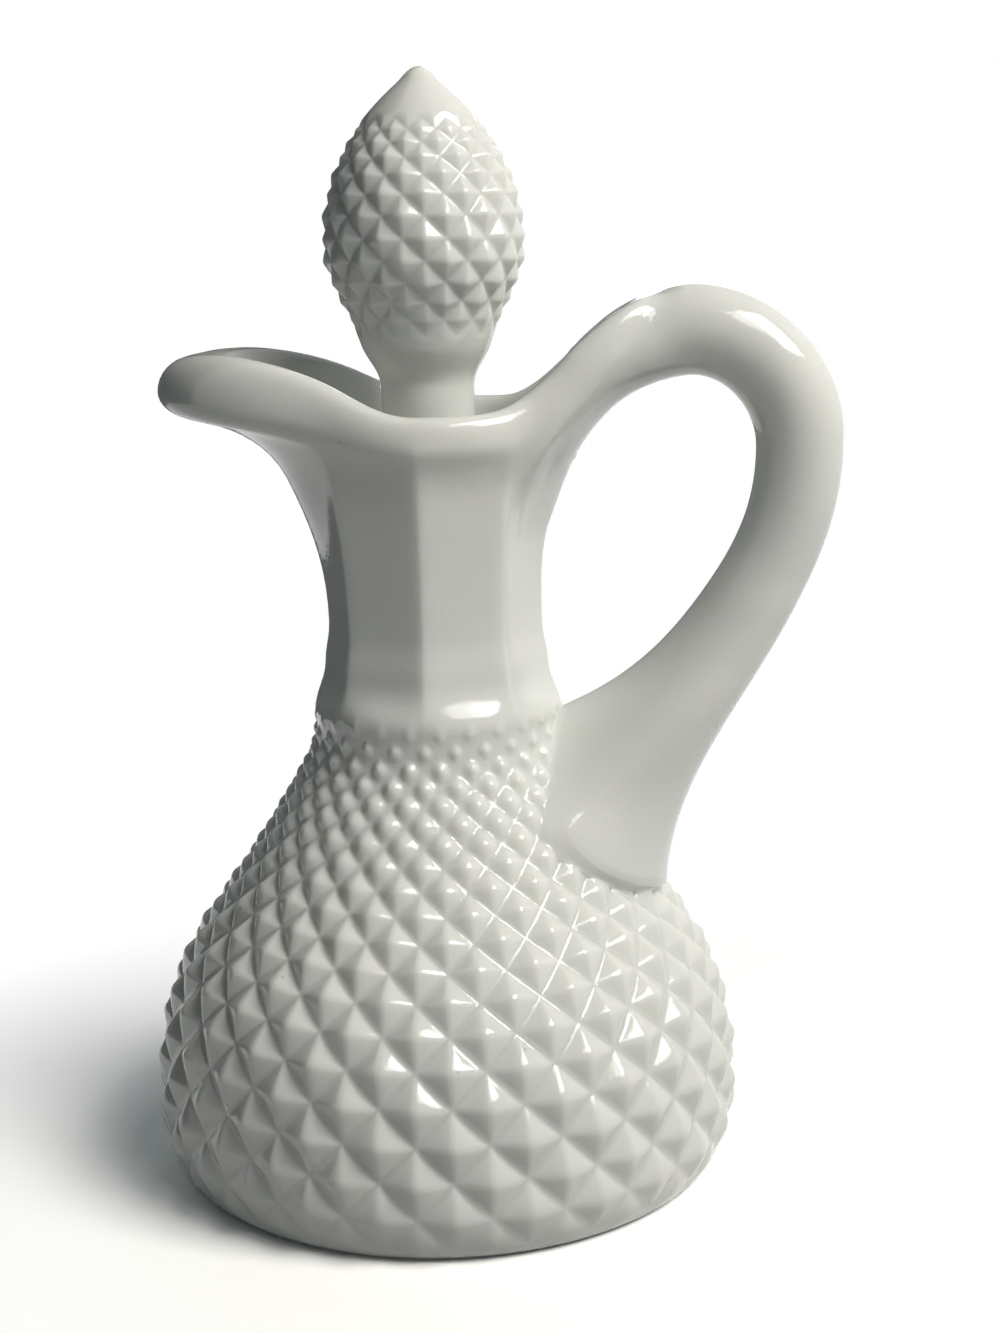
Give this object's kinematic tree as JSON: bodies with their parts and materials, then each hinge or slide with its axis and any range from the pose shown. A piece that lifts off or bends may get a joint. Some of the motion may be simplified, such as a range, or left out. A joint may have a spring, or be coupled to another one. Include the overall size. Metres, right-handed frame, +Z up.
{
  "type": "oil and vinegar cruet",
  "caption": "Opaque white pressed-glass cruet: squat bowl covered in diamond points, octagonal neck, long pouring lip, looped handle and a pointed glass stopper.",
  "frame": {"origin": "middle of the foot, on the table", "axes": "+Z up along the neck, the pouring lip points to -X, the handle to +X and the front is -Y"},
  "size_m": [0.1061, 0.0908, 0.165],
  "materials": {
    "body_glass": "opaque white, fire-polished gloss",
    "stopper_glass": "opaque white, fire-polished gloss",
    "soft_plastic": "soft, cloudy and satin"
  },
  "bodies": {
    "bottle": {"cruet_body": "body_glass"},
    "seal": {"sealing_sleeve": "soft_plastic"},
    "stopper": {"stopper": "stopper_glass"}
  },
  "joints": [
    {"name": "stopper_lift", "type": "slide", "parent": "bottle", "child": "seal", "axis": [0, 0, 1], "range_m": [0, 0.05]},
    {"name": "stopper_turn", "type": "hinge", "parent": "seal", "child": "stopper", "pos_m": [0, 0, 0.1], "axis": [0, 0, 1], "continuous": true}
  ]
}
